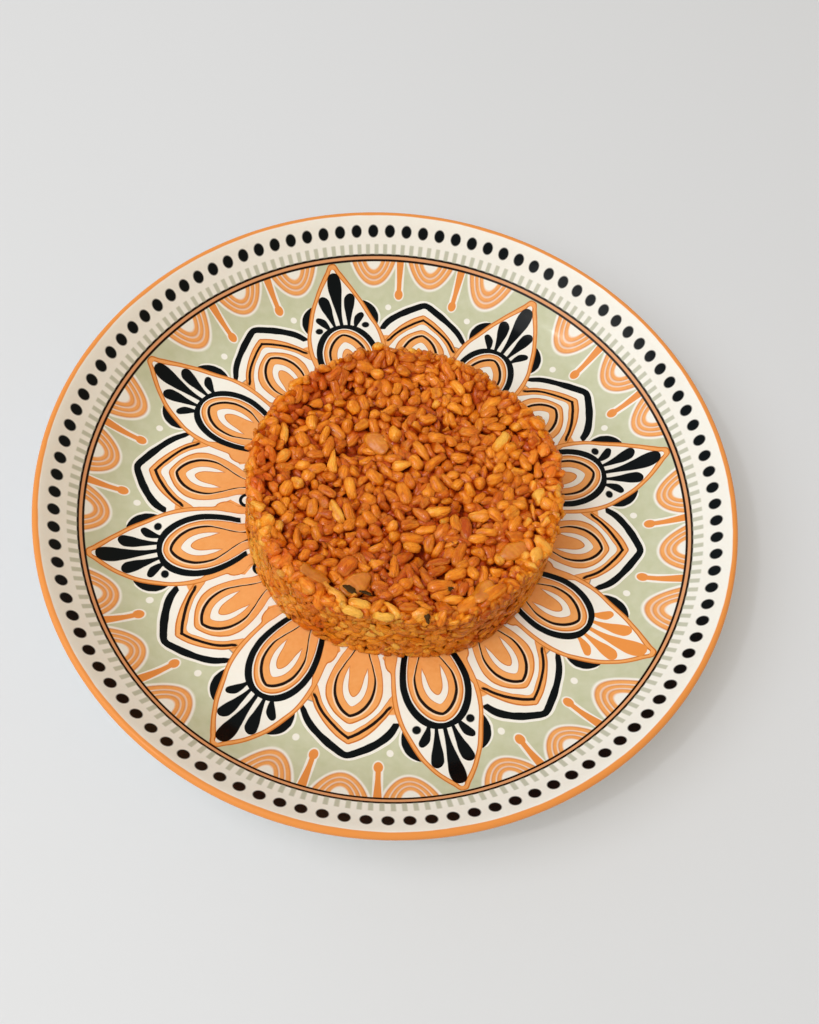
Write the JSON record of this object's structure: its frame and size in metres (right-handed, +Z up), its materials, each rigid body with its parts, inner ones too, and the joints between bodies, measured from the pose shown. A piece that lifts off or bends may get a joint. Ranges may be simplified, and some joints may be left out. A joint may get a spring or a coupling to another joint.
{
  "type": "bulgur pilaf",
  "caption": "Round pressed cake of orange cooked bulgur pilaf, uneven grains and a shallow recess on top, served on a glazed dinner plate with a folk petal ornament.",
  "frame": {"origin": "middle of the plate's foot, on the surface that the plate stands on", "axes": "+Z up, -Y towards the viewer of the picture, +X to the viewer's right"},
  "size_m": [0.26, 0.26, 0.0359],
  "materials": {
    "cooked_bulgur": "satin",
    "glazed_stoneware": "gloss"
  },
  "bodies": {
    "root": {"pilaf": "cooked_bulgur", "plate": "glazed_stoneware"}
  },
  "joints": []
}
